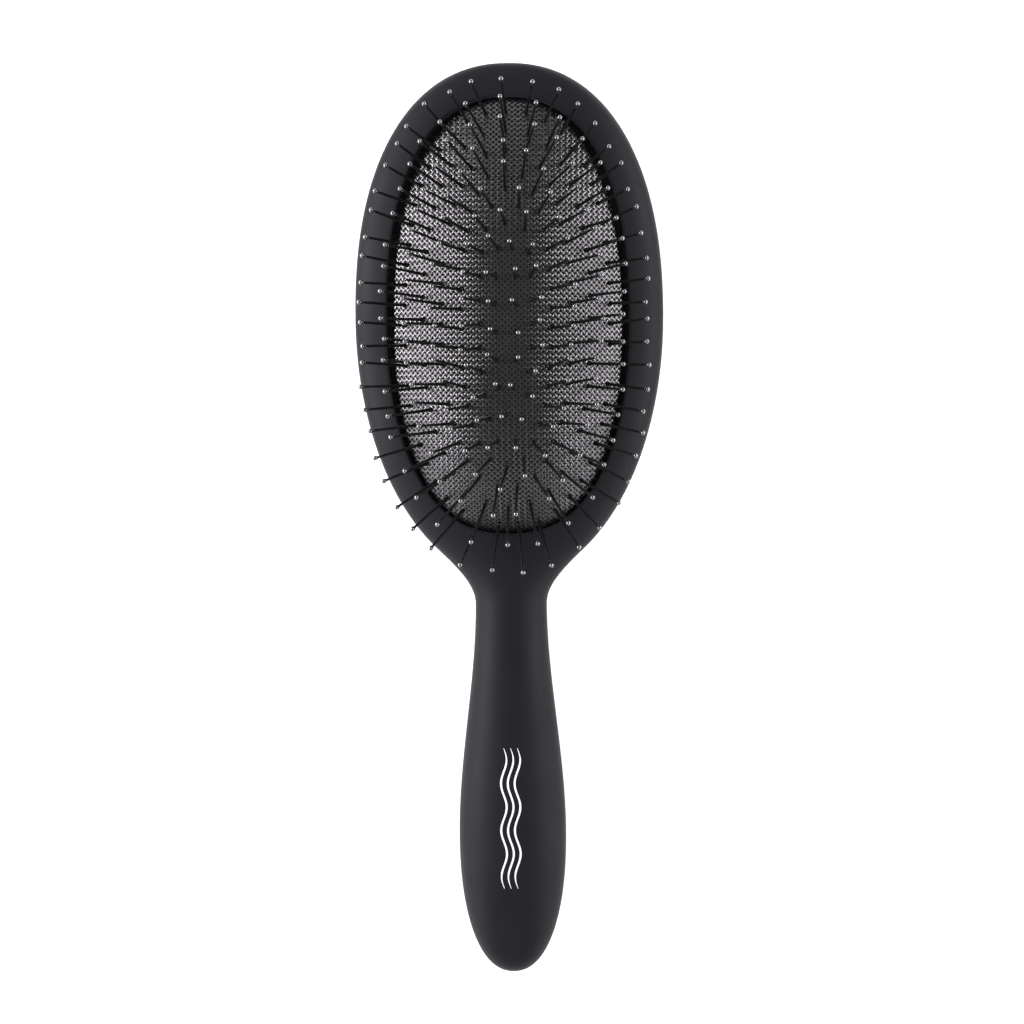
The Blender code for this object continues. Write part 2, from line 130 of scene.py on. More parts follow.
# Cushion's rubber and its woven cover
RUBBER_DEPTH = 0.00052
RUBBER_THICKNESS = 0.0008
RUBBER_SPOKES = 160
RUBBER_RINGS = 44
COVER_TOP_POWER = 2.2  # the cover and rubber bulge a little past the CAD's cushion at its corners
COVER_TAIL_POWER = 2.46
RUBBER_ROLL = 0.0009  # how far the rubber runs down past the cushion's edge, clear of the skirt when pressed
COVER_ROLL = 0.0006  # the cover stops before it
THREAD_WIDTH = 0.00053
THREAD_HEIGHT = 0.00022
THREAD_WAVE = 0.00011
THREAD_PITCH_X = 0.00153
THREAD_PITCH_Y = 0.00142
THREAD_STEPS = 2  # mesh rings between one crossing and the next
THREAD_CROWN_SHARE = 0.75  # how much of the thread's round upper side stands up
PIN_CLEAR = 0.00062  # how far a pin pushes the threads' middles aside
PUSH_REACH = 2.2 * PIN_CLEAR

# Pins
SHANK_FOOT_RADIUS = 0.00043
SHANK_RADIUS = 0.00031
BALL_RADIUS = 0.00058
BALL_LENGTH = 0.0017
PIN_SIDES = 10
FOOT_COLLAR_RADIUS = 0.00066
ROOT_DEPTH = 0.0032  # how far the pins go down into the rubber
RUNNER_DEPTH = 0.0034
RUNNER_RADIUS = 0.00045

# Ornament
ORNAMENT_TOP_Y = -0.0565
ORNAMENT_LENGTH = 0.035
STRANDS = 3
STRAND_SPACING = 0.0017
STRAND_SWING = 0.0007
STRAND_WAVES = 3.0
STRAND_HALF_WIDTH = 0.00024
STRAND_LIFT = 0.00004
STRAND_DEPTH = 0.0003
STRAND_SAMPLES = 90

# Studio
LIGHT_TARGET = (0.0, 0.02, 0.02)
LIGHT_COLOUR = (1.0, 0.955, 1.0)
LIGHTS = {  # place, width, height and power
    "softbox_left": ((-0.62, 0.15, 0.32), 0.42, 0.2, 7.8),
    "softbox_right": ((0.62, 0.15, 0.32), 0.42, 0.2, 5.1),
    "softbox_low_left": ((-0.46, -0.24, 0.16), 0.3, 0.15, 0.9),
    "softbox_low_right": ((0.46, -0.24, 0.16), 0.3, 0.15, 0.8),
    "softbox_front": ((0.0, -0.55, 0.55), 0.5, 0.3, 1.3),
    "softbox_far": ((-0.1, 0.62, 0.4), 0.4, 0.2, 0.9),
}
WORLD_STRENGTH = 0.24
FLOOR_HALF_WIDTH = 1.5
FLOOR_Z = -0.001
CAMERA_TARGET = (0.00035, 0.0020, PART_Z)
CAMERA_OFFSET = (0.034, 0.022, 0.6988)  # from the target to the camera
CAMERA_ROLL = -0.41  # degrees
VIEW_WIDTH = 0.2574336  # how much the picture spans at VIEW_DISTANCE
VIEW_DISTANCE = 0.7


# Curves that the shapes follow

def closing(share, power):
    """Height of a superellipse of unit height at this share of its half-length."""
    return max(0.0, 1.0 - min(1.0, abs(share)) ** power) ** (1.0 / power)


def smooth_step(share):
    share = min(1.0, max(0.0, share))
    return share * share * (3.0 - 2.0 * share)


def tail_half_width(y):
    return HEAD_WIDTH / 2 * closing((HEAD_Y - y) / HEAD_TAIL, 2.0)


def half_width(y):
    """Half the width of the brush's outline at y."""
    if y >= HEAD_Y:
        return HEAD_WIDTH / 2 * closing((y - HEAD_Y) / HEAD_TOP, HEAD_TOP_POWER)
    if y >= NECK_TOP_Y:
        return tail_half_width(y)
    if y >= NECK_Y:
        start = tail_half_width(NECK_TOP_Y)
        slope = (tail_half_width(NECK_TOP_Y + PROBE) - start) / PROBE
        share = (NECK_TOP_Y - y) / NECK_BLEND
        ease = share * (1.0 - share) ** 2
        return start + (NECK_WIDTH / 2 - start) * smooth_step(share) - slope * NECK_BLEND * ease
    if y >= GRIP_Y:
        share = smooth_step((NECK_Y - y) / (NECK_Y - GRIP_Y))
        return (NECK_WIDTH + (GRIP_WIDTH - NECK_WIDTH) * share) / 2
    return GRIP_WIDTH / 2 * closing((GRIP_Y - y) / GRIP_END, END_POWER)


def along_handle(y, head, neck, grip):
    """A value that runs smoothly from the head's to the neck's and then the grip's."""
    if y >= NECK_Y:
        return neck + (head - neck) * smooth_step((y - NECK_Y) / HEAD_BLEND)
    return neck + (grip - neck) * smooth_step((NECK_Y - y) / (NECK_Y - GRIP_Y))


def ends_closing(y):
    if y > HEAD_Y:
        return closing((y - HEAD_Y) / HEAD_TOP, HEAD_END_POWER)
    return closing((GRIP_Y - y) / GRIP_END, END_POWER) if y < GRIP_Y else 1.0


def section_power(y):
    return along_handle(y, HEAD_SECTION_POWER, GRIP_SECTION_POWER, GRIP_SECTION_POWER)


def front_height(x, y):
    """Height of the front shell's face."""
    rise = along_handle(y, HEAD_RISE, NECK_RISE, GRIP_RISE) * ends_closing(y)
    share = abs(x) / max(half_width(y), PROBE)
    return PART_Z + max(rise * closing(share, section_power(y)), SEAM / 2)


def back_point(y, turn):
    """Point on the back shell. Turn 0 is at +X, and a quarter turn is the underside."""
    drop = along_handle(y, HEAD_DROP, NECK_DROP, GRIP_DROP) * ends_closing(y)
    share = math.cos(turn)
    z = PART_Z - max(drop * closing(share, section_power(y)), SEAM / 2)
    return half_width(y) * share, y, (z + math.hypot(z, FLOOR_EASE)) / 2 if z < PART_Z / 2 else z


def oval_radius(x, y, half_x, half_y, power):
    """0 at the oval's middle and 1 on its outline."""
    return (abs(x / half_x) ** power + abs(y / half_y) ** power) ** (1.0 / power)


def oval_point(turn, half_x, half_y, power):
    """Point of an oval about the head's middle. Turn 0 is at +X."""
    x, y = math.cos(turn), math.sin(turn)
    radius = 1.0 / oval_radius(x, y, 1.0, 1.0, power)
    return half_x * x * radius, HEAD_Y + half_y * y * radius


def cover_edge(turn):
    power = COVER_TOP_POWER if math.sin(turn) > 0 else COVER_TAIL_POWER
    return oval_point(turn, CUSHION_HALF_WIDTH, CUSHION_HALF_LENGTH, power)


# The same cushion as arrays of points, for the dome, its threads and its pins

def cushion_radius(x, y, top_power=CUSHION_TOP_POWER, tail_power=CUSHION_TAIL_POWER):
    """0 at the cushion's middle and 1 at its edge, for points measured from the head's middle."""
    return oval_radius(x, y, CUSHION_HALF_WIDTH, CUSHION_HALF_LENGTH, np.where(y > 0, top_power, tail_power))


def cover_radius(x, y):
    """The same for the cover's edge."""
    return cushion_radius(x, y, COVER_TOP_POWER, COVER_TAIL_POWER)


def cushion_height(x, y):
    """Height of the cushion's face. It is round across the brush and flatter along it."""
    y = y - HEAD_Y
    y = y - CROWN_SHIFT * (1.0 - np.minimum(1.0, cushion_radius(x, y)) ** 2)
    across = (x / CUSHION_HALF_WIDTH) ** 2
    along = (y / CUSHION_HALF_LENGTH) ** 2
    end_share = along / np.maximum(across + along, PROBE)
    drop = cushion_radius(x, y) ** (2.0 + 2.0 * end_share)
    return CUSHION_EDGE_Z + CUSHION_RISE * (1.0 - drop)


def unit(vectors):
    return vectors / np.linalg.norm(vectors, axis=-1, keepdims=True)


def cushion_normal(x, y):
    slope_x = (cushion_height(x + PROBE, y) - cushion_height(x - PROBE, y)) / (2 * PROBE)
    slope_y = (cushion_height(x, y + PROBE) - cushion_height(x, y - PROBE)) / (2 * PROBE)
    return unit(np.stack([-slope_x, -slope_y, np.ones_like(slope_x)], axis=-1))


def cushion_face(x, y):
    """Points and normals of the cushion's face. Past the edge, the face turns straight down."""
    radius = np.maximum(cover_radius(x, y - HEAD_Y), PROBE)
    inward = np.minimum(1.0, 1.0 / radius)
    edge_x, edge_y = x * inward, HEAD_Y + (y - HEAD_Y) * inward
    drop = np.hypot(x - edge_x, y - edge_y)
    height = np.maximum(cushion_height(edge_x, edge_y), CUSHION_EDGE_Z)
    points = np.stack([edge_x, edge_y, height - drop], axis=-1)
    dome = cushion_normal(edge_x * 0.999, HEAD_Y + (edge_y - HEAD_Y) * 0.999)
    outward = unit(np.stack([dome[..., 0], dome[..., 1], np.full_like(radius, 0.02)], axis=-1))
    turned = np.clip((radius - 0.985) / 0.03, 0.0, 1.0)[..., None]
    return points, unit(dome * (1 - turned) + outward * turned)


def pin_direction(x, y):
    """Square to the cushion, but the pins at its steep edge lean less than the rubber does."""
    normal = cushion_normal(np.float64(x), np.float64(y))
    along = (y - HEAD_Y) / CUSHION_HALF_LENGTH
    limit = LEAN_AT_MIDDLE + abs(along) * ((LEAN_AT_TOP if along > 0 else LEAN_AT_TAIL) - LEAN_AT_MIDDLE)
    lean = math.hypot(normal[0], normal[1])
    share = (1.0 + (lean / limit) ** LEAN_POWER) ** (-1.0 / LEAN_POWER)
    return Vector((normal[0] * share, normal[1] * share, math.sqrt(1.0 - (lean * share) ** 2)))


def ring_points(ring):
    """Places of one ring's pins, evenly along its oval, starting on the axis at the head's free end."""
    outer_half_width = CUSHION_HALF_WIDTH - RING_SIDE_MARGIN
    step = (outer_half_width - INNER_RING_HALF_WIDTH) / (len(PINS_IN_RING) - 1.2)
    half_x = max(outer_half_width - ring * step, INNER_RING_HALF_WIDTH)
    half_y = CUSHION_HALF_LENGTH - RING_END_MARGIN - ring * step
    if ring == len(PINS_IN_RING) - 1:
        half_y -= INNER_RING_PULL * step
    power = OUTER_RING_POWER + ring * RING_POWER_STEP
    turns = math.pi / 2 - np.linspace(0.0, math.tau, ARC_SAMPLES + 1)
    outline = np.array([oval_point(turn, half_x, half_y, power) for turn in turns])
    lengths = np.concatenate([[0.0], np.cumsum(np.linalg.norm(np.diff(outline, axis=0), axis=1))])
    wanted = lengths[-1] * np.arange(PINS_IN_RING[ring]) / PINS_IN_RING[ring]
    xs = np.interp(wanted, lengths, outline[:, 0])
    ys = np.interp(wanted, lengths, outline[:, 1]) + RING_SHIFT
    return [(float(x), float(y)) for x, y in zip(xs, ys)]


def pin_rings():
    """For each ring, the foot on the cushion's face and the direction of each pin."""
    chance = random.Random(PIN_SEED)
    rings = []
    for ring in range(len(PINS_IN_RING)):
        pins = []
        for x, y in ring_points(ring):
            stray = Vector((chance.uniform(-1, 1), chance.uniform(-1, 1), 0.0)) * PIN_STRAY
            foot = Vector((x, y, float(cushion_height(np.float64(x), np.float64(y)))))
            pins.append((foot, (pin_direction(x, y) + stray).normalized()))
        rings.append(pins)
    return rings


# Materials

class Shader:
    """A material's node tree, with a call for each kind of node that is used."""

    def __init__(self, name, **sockets):
        self.material = bpy.data.materials.new(name)
        self.material.use_nodes = True
        self.tree = self.material.node_tree
        self.surface = self.tree.nodes["Principled BSDF"]
        for socket, value in sockets.items():
            self.surface.inputs[socket.replace("_", " ")].default_value = value
        self.place = self.node("ShaderNodeTexCoord").outputs["Object"]

    def node(self, kind, **settings):
        made = self.tree.nodes.new(kind)
        for setting, value in settings.items():
            setattr(made, setting, value)
        return made

    def link(self, output, target):
        self.tree.links.new(output, target)

    def noise(self, scale, detail=2.0, stretch=None):
        """Noise from 0 to 1 over the object's own coordinates, with scale in cycles per metre."""
        made = self.node("ShaderNodeTexNoise")
        made.inputs["Scale"].default_value = scale
        made.inputs["Detail"].default_value = detail
        place = self.place
        if stretch:
            mapping = self.node("ShaderNodeMapping")
            mapping.inputs["Scale"].default_value = stretch
            self.link(place, mapping.inputs["Vector"])
            place = mapping.outputs["Vector"]
        self.link(place, made.inputs["Vector"])
        return made.outputs["Fac"]

    def spread(self, value, low, high, start=0.3, end=0.7):
        """The value, which mostly lies from start to end, spread from low to high."""
        made = self.node("ShaderNodeMapRange")
        for socket, number in (("From Min", start), ("From Max", end), ("To Min", low), ("To Max", high)):
            made.inputs[socket].default_value = number
        self.link(value, made.inputs["Value"])
        return made.outputs["Result"]

    def colours(self, value, dark, light):
        made = self.node("ShaderNodeMix", data_type="RGBA")
        made.inputs[6].default_value = (*dark, 1.0)
        made.inputs[7].default_value = (*light, 1.0)
        self.link(value, made.inputs[0])
        return made.outputs[2]

    def bump(self, value, distance, strength=1.0, below=None):
        made = self.node("ShaderNodeBump")
        made.inputs["Distance"].default_value = distance
        made.inputs["Strength"].default_value = strength
        self.link(value, made.inputs["Height"])
        if below:
            self.link(below, made.inputs["Normal"])
        return made.outputs["Normal"]

    def wear(self, colour=None, roughness=None, normal=None):
        for socket, output in (("Base Color", colour), ("Roughness", roughness), ("Normal", normal)):
            if output is not None:
                self.link(output, self.surface.inputs[socket])
        return self.material


def soft_touch():
    """Matt rubbery paint: a very fine orange peel, and slightly glossier where hands have polished it."""
    made = Shader("soft_touch_paint", Sheen_Weight=0.05, Sheen_Roughness=0.45, Specular_IOR_Level=0.18)
    made.surface.inputs["Sheen Tint"].default_value = (0.75, 0.78, 0.9, 1.0)
    handled = made.noise(55.0, 4.0)
    grain = made.noise(4200.0, 3.0)
    return made.wear(
        made.colours(handled, (0.0032, 0.0034, 0.0048), (0.0047, 0.0049, 0.0070)),
        made.spread(handled, 0.56, 0.64),
        made.bump(grain, 0.00002, 0.35, made.bump(made.noise(900.0), 0.00003, 0.2)),
    )


def cushion_rubber():
    made = Shader("cushion_rubber", Specular_IOR_Level=0.4)
    return made.wear(
        made.colours(made.noise(700.0, 3.0), (0.006, 0.006, 0.0066), (0.012, 0.0115, 0.013)),
        made.spread(made.noise(300.0), 0.5, 0.66),
        made.bump(made.noise(3000.0, 2.0), 0.00003, 0.5),
    )


def net_thread():
    """Glossy nylon yarn, with fine filaments and a little variation from thread to thread."""
    made = Shader("net_thread", Sheen_Weight=0.05, Sheen_Roughness=0.35, IOR=1.5, Specular_IOR_Level=1.0)
    made.surface.inputs["Sheen Tint"].default_value = (0.95, 0.88, 0.95, 1.0)
    return made.wear(
        made.colours(made.noise(1500.0, 2.0), (0.0045, 0.0040, 0.0052), (0.0115, 0.0104, 0.0127)),
        made.spread(made.noise(2500.0), 0.27, 0.37),
        made.bump(made.noise(9000.0, 2.0), 0.00002, 0.25),
    )


def pin_nylon():
    """Extruded shanks, a little dull."""
    made = Shader("pin_nylon", IOR=1.5, Specular_IOR_Level=0.3)
    return made.wear(
        made.colours(made.noise(400.0), (0.0022, 0.0022, 0.0026), (0.0042, 0.0041, 0.0048)),
        made.spread(made.noise(1200.0), 0.34, 0.44),
        made.bump(made.noise(5000.0, 1.0), 0.00001, 0.3),
    )


def pin_ball():
    """The moulded tips are polished."""
    made = Shader("pin_ball", IOR=1.75, Specular_IOR_Level=1.0, Coat_Weight=1.0, Coat_Roughness=0.05)
    return made.wear(
        made.colours(made.noise(400.0), (0.0025, 0.0025, 0.003), (0.0045, 0.0044, 0.005)),
        made.spread(made.noise(1200.0), 0.09, 0.13),
        made.bump(made.noise(5000.0, 1.0), 0.00001, 0.15),
    )


def inner_plastic():
    made = Shader("inner_plastic")
    return made.wear(
        made.colours(made.noise(200.0, 3.0), (0.02, 0.02, 0.021), (0.032, 0.032, 0.033)),
        made.spread(made.noise(400.0), 0.4, 0.5),
        made.bump(made.noise(2500.0), 0.00003, 0.4),
    )


def print_ink():
    made = Shader("print_ink")
    return made.wear(
        made.colours(made.noise(2500.0, 2.0), (0.78, 0.78, 0.78), (0.88, 0.88, 0.88)),
        made.spread(made.noise(1500.0), 0.35, 0.5),
        made.bump(made.noise(6000.0), 0.00001, 0.4),
    )


def pale_floor():
    made = Shader("pale_floor", Specular_IOR_Level=0.0)
    made.surface.inputs["Emission Color"].default_value = (1.0, 1.0, 1.0, 1.0)
    made.surface.inputs["Emission Strength"].default_value = 0.65
    return made.wear(
        made.colours(made.noise(3.0), (0.68, 0.68, 0.68), (0.72, 0.72, 0.72)),
        made.spread(made.noise(5.0), 0.9, 0.95),
    )


# Objects

def add_mesh(name, verts, faces, finish):
    mesh = bpy.data.meshes.new(name)
    mesh.from_pydata(verts, [], faces)
    mesh.validate()
    mesh.materials.append(finish)
    mesh.shade_smooth()
    obj = bpy.data.objects.new(name, mesh)
    bpy.context.scene.collection.objects.link(obj)
    return obj


def tidy_mesh(obj, merge=1e-6):
    """Welds points that coincide, and turns all faces outwards."""
    bm = bmesh.new()
    bm.from_mesh(obj.data)
    bmesh.ops.remove_doubles(bm, verts=bm.verts, dist=merge)
    bmesh.ops.recalc_face_normals(bm, faces=bm.faces)
    bm.to_mesh(obj.data)
    bm.free()


def face_up(obj, upwards):
    """Turns an open surface so that it mostly faces up, or down."""
    total = sum((face.normal.z * face.area for face in obj.data.polygons))
    if (total > 0) != upwards:
        obj.data.flip_normals()


def thicken(obj, thickness):
    """Gives an open surface a wall behind it, and applies it."""
    wall = obj.modifiers.new("wall", "SOLIDIFY")
    wall.thickness = thickness
    wall.offset = -1.0
    wall.use_even_offset = True
    solid = bpy.data.meshes.new_from_object(obj.evaluated_get(bpy.context.evaluated_depsgraph_get()))
    obj.modifiers.clear()
    obj.data = solid
    obj.data.shade_smooth()
    obj.data.set_sharp_from_angle(angle=math.radians(50))


def grid_faces(rows, columns, closed):
    """Quads between neighbouring rows of points. Closed rows join their last point to their first."""
    faces = []
    for row in range(rows - 1):
        for column in range(columns if closed else columns - 1):
            following = (column + 1) % columns
            near, far = row * columns, (row + 1) * columns
            faces.append((near + column, near + following, far + following, far + column))
    return faces


def shifted(faces, first):
    """The same faces on points that start at first."""
    return [tuple(first + corner for corner in face) for face in faces]


def settle(obj, body, slot, *nodes):
    """Says which body the piece rides on and which CAD nodes it stands for. The slot is not used."""
    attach(obj, body)
    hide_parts(*nodes)
    return obj


# Shells

def outline_point(turn):
    """Where a ray from the head's middle leaves the head, through the outline or into the handle."""
    x, y = math.cos(turn), math.sin(turn)
    near, far = 0.0, LENGTH
    for _ in range(50):
        middle = (near + far) / 2
        place_y = HEAD_Y + middle * y
        inside = abs(middle * x) < half_width(place_y) and abs(place_y) < LENGTH / 2
        near, far = (middle, far) if inside else (near, middle)
    reach = near
    if y < 0:
        reach = min(reach, (HEAD_Y - JOIN_Y) / -y)
    return reach * x, HEAD_Y + reach * y


def front_shell(finish):
    """Two grids that share a line of points: rings round the opening, then rows along the handle."""
    corner = half_width(JOIN_Y)
    start = math.atan2(JOIN_Y - HEAD_Y, corner)
    spoke = (math.pi - 2 * start) / RIM_SPOKES
    outer = [outline_point(start + spoke * step) for step in range(RIM_SPOKES + 1)]
    outer[0], outer[-1] = (corner, JOIN_Y), (-corner, JOIN_Y)
    shares = [-math.cos(math.pi * step / HANDLE_COLUMNS) for step in range(1, HANDLE_COLUMNS)]
    outer += [(share * corner, JOIN_Y) for share in shares]

    lips, outwards = [], []
    for x, y in outer:
        turn = math.atan2((y - HEAD_Y) / OPENING_HALF_LENGTH, x / OPENING_HALF_WIDTH)
        here = Vector(oval_point(turn, OPENING_HALF_WIDTH, OPENING_HALF_LENGTH, OPENING_POWER))
        ahead = Vector(oval_point(turn + 1e-4, OPENING_HALF_WIDTH, OPENING_HALF_LENGTH, OPENING_POWER))
        along = (ahead - here).normalized()
        lips.append(here)
        outwards.append(Vector((along.y, -along.x)))
    verts = []
    tops = [lip + outward * LIP_RADIUS for lip, outward in zip(lips, outwards)]
    heights = [front_height(top.x, top.y) for top in tops]
    for level in (0.0, 0.5):
        for lip, height in zip(lips, heights):
            verts.append((lip.x, lip.y, COLLAR_Z + level * (height - LIP_RADIUS - COLLAR_Z)))
    for row in range(LIP_ROWS):
        turn = math.pi / 2 * row / LIP_ROWS
        for lip, outward, height in zip(lips, outwards, heights):
            place = lip + outward * LIP_RADIUS * (1 - math.cos(turn))
            verts.append((place.x, place.y, height - LIP_RADIUS * (1 - math.sin(turn))))
    for row in range(TOP_ROWS + 1):
        share = 1.0 - (1.0 - row / TOP_ROWS) ** 3
        for top, (x, y) in zip(tops, outer):
            place = top.lerp(Vector((x, y)), share)
            verts.append((place.x, place.y, front_height(place.x, place.y)))
    columns = len(outer)
    rows = 2 + LIP_ROWS + TOP_ROWS + 1
    faces = grid_faces(rows, columns, True)

    shares = [-1.0, *shares, 1.0]
    first = len(verts)
    for row in range(HANDLE_ROWS + 1):
        turn = math.pi / 2 * row / HANDLE_ROWS
        y = JOIN_Y - (LENGTH / 2 + JOIN_Y) * math.sin(turn) ** 0.9
        width = half_width(y) if row < HANDLE_ROWS else 0.0
        verts += [(share * width, y, front_height(share * width, y)) for share in shares]
    faces += shifted(grid_faces(HANDLE_ROWS + 1, len(shares), False), first)
    shell = add_mesh("front_shell_smooth", verts, faces, finish)
    tidy_mesh(shell)
    face_up(shell, True)
    thicken(shell, SKIN)
    return settle(shell, BODY, "soft_touch_body", "front_shell")


def back_shell(finish):
    """Rows across the underside from one end to the other, flat where the brush lies."""
    verts = []
    for station in range(BACK_STATIONS + 1):
        y = -LENGTH / 2 * math.cos(math.pi * station / BACK_STATIONS)
        y = max(min(y, LENGTH / 2 - 1e-7), 1e-7 - LENGTH / 2)
        verts += [back_point(y, math.pi * step / BACK_COLUMNS) for step in range(BACK_COLUMNS + 1)]
    faces = grid_faces(BACK_STATIONS + 1, BACK_COLUMNS + 1, False)
    shell = add_mesh("back_shell_smooth", verts, faces, finish)
    tidy_mesh(shell, 2e-5)
    face_up(shell, False)
    thicken(shell, SKIN)
    return settle(shell, BODY, "soft_touch_body", "back_shell")


# Cushion

def cushion_rubber_dome(finish):
    """Domed rubber with its edge rolled down, under the woven cover."""
    turns = np.linspace(0.0, math.tau, RUBBER_SPOKES, endpoint=False)
    edge = np.array([cover_edge(turn) for turn in turns]) - (0.0, HEAD_Y)
    shares = 1.0 - (1.0 - np.linspace(0.02, 1.0, RUBBER_RINGS)) ** 1.5
    roll = RUBBER_ROLL / np.linalg.norm(edge, axis=1)
    past = 1.0 + roll * np.array([0.15, 0.3, 0.5, 0.75, 1.0])[:, None]
    inner = np.repeat(shares[:, None], RUBBER_SPOKES, axis=1)
    plan = np.concatenate([inner, past])[..., None] * edge
    points, normals = cushion_face(plan[..., 0], plan[..., 1] + HEAD_Y)
    verts = (points - normals * RUBBER_DEPTH).reshape(-1, 3).tolist()
    faces = grid_faces(len(shares) + len(past), RUBBER_SPOKES, True)
    faces.append(tuple(range(RUBBER_SPOKES)))
    dome = add_mesh("cushion_rubber_dome", verts, faces, finish)
    face_up(dome, True)
    thicken(dome, RUBBER_THICKNESS)
    return settle(dome, CUSHION, "cushion_rubber", "cushion_pad")


def cloth_scale(along_x):
    """Tables of plan position and distance over the dome, along one axis through the crown."""
    reach = (CUSHION_HALF_WIDTH if along_x else CUSHION_HALF_LENGTH) + 3 * COVER_ROLL
    plan = np.linspace(-reach, reach, 801)
    if along_x:
        points, _ = cushion_face(plan, np.full_like(plan, HEAD_Y + CROWN_SHIFT))
    else:
        points, _ = cushion_face(np.zeros_like(plan), plan + HEAD_Y)
    lengths = np.concatenate([[0.0], np.cumsum(np.linalg.norm(np.diff(points, axis=0), axis=1))])
    return plan, lengths - np.interp(0.0, plan, lengths)


def woven_cover(finish, rings):
    """Plain weave at a slant. The threads pass over and under each other, and part round the pins."""
    plan_x, cloth_x = cloth_scale(True)
    plan_y, cloth_y = cloth_scale(False)
    feet = np.array([(foot.x, foot.y) for pins in rings for foot, _ in pins])
    reach = int(np.ceil(cloth_x[-1] / THREAD_PITCH_X + cloth_y[-1] / THREAD_PITCH_Y))
    steps = np.arange(-reach * THREAD_STEPS, reach * THREAD_STEPS + 1) / THREAD_STEPS
    verts, faces = [], []
    total = 0
    for family in (1, -1):
        for number in range(-reach, reach + 1):
            u = THREAD_PITCH_X * (number + steps) / 2
            v = THREAD_PITCH_Y * (number - steps) / 2 * family
            x = np.interp(u, cloth_x, plan_x, left=np.nan, right=np.nan)
            y = np.interp(v, cloth_y, plan_y, left=np.nan, right=np.nan) + HEAD_Y
            inside = np.isfinite(x) & np.isfinite(y)
            radius = cover_radius(x[inside], y[inside] - HEAD_Y)
            past_edge = (1.0 - 1.0 / np.maximum(radius, 1.0)) * np.hypot(x[inside], y[inside] - HEAD_Y)
            inside[inside] = past_edge < COVER_ROLL
            if inside.sum() < 4:
                continue
            x, y, step = x[inside], y[inside], steps[inside]
            away = np.stack([x, y], axis=-1)[:, None] - feet[None]
            distance = np.maximum(np.linalg.norm(away, axis=-1), 1e-6)
            fading = np.exp(-((distance / PUSH_REACH) ** 2))
            push = np.sqrt(distance**2 + PIN_CLEAR**2 * fading) - distance
            moved = (away / distance[..., None] * push[..., None]).sum(axis=1)
            points, normals = cushion_face(x + moved[:, 0], y + moved[:, 1])
            wave = family * np.cos(math.pi * (step + number)) * THREAD_WAVE
            points = points + normals * (wave - THREAD_HEIGHT)[:, None]
            along = unit(np.gradient(points, axis=0))
            across = unit(np.cross(along, normals)) * THREAD_WIDTH / 2
            crown = normals * THREAD_HEIGHT / 2
            section = [points - across, points + crown * THREAD_CROWN_SHARE, points + across, points - crown]
            rows = np.stack(section, axis=1)
            count, sides = len(rows), len(section)
            verts.append(rows.reshape(-1, 3))
            base = total + sides * np.arange(count - 1)
            for side in range(sides):
                near, following = base + side, base + (side + 1) % sides
                faces.append(np.stack([near, near + sides, following + sides, following], axis=1))
            last = total + sides * (count - 1)
            corners = np.arange(sides)
            faces.append(np.array([total + corners, last + corners[::-1]]))
            total += sides * count
    verts, faces = np.concatenate(verts), np.concatenate(faces)
    cover = add_mesh("woven_cover", verts.tolist(), faces.tolist(), finish)
    cover.data.set_sharp_from_angle(angle=math.radians(55))
    return settle(cover, CUSHION, "mesh_fabric", "mesh_cover")


# Pins

def pin_profile():
    """Radius and height pairs from the root, over the foot's collar, up the shank and round the ball."""
    profile = [(SHANK_FOOT_RADIUS, -ROOT_DEPTH), (SHANK_FOOT_RADIUS, -0.5 * MM)]
    profile += [(FOOT_COLLAR_RADIUS, -0.5 * MM), (FOOT_COLLAR_RADIUS, -0.04 * MM)]
    profile += [(0.60 * MM, 0.10 * MM), (0.47 * MM, 0.19 * MM), (SHANK_FOOT_RADIUS, 0.26 * MM)]
    profile += [(0.41 * MM, 0.9 * MM), (0.36 * MM, 7.0 * MM)]
    profile.append((SHANK_RADIUS, PIN_LENGTH - BALL_LENGTH - 0.5 * MM))
    for share in np.linspace(0.0, 1.0, 9):
        # a teardrop: it swells slowly from the shank, and ends as a half-sphere
        height = PIN_LENGTH - BALL_LENGTH + BALL_LENGTH * share
        middle = PIN_LENGTH - BALL_RADIUS
        if height < middle:
            rise = (height - (PIN_LENGTH - BALL_LENGTH)) / (middle - (PIN_LENGTH - BALL_LENGTH))
            radius = SHANK_RADIUS + (BALL_RADIUS - SHANK_RADIUS) * math.sin(rise * math.pi / 2) ** 1.3
        else:
            radius = BALL_RADIUS * closing((height - middle) / BALL_RADIUS, 2.0)
        profile.append((radius, height))
    return profile


def ring_of_points(centre, axis, radius):
    side = axis.orthogonal().normalized()
    other = axis.cross(side)
    turns = [math.tau * number / PIN_SIDES for number in range(PIN_SIDES)]
    return [centre + (side * math.cos(turn) + other * math.sin(turn)) * radius for turn in turns]


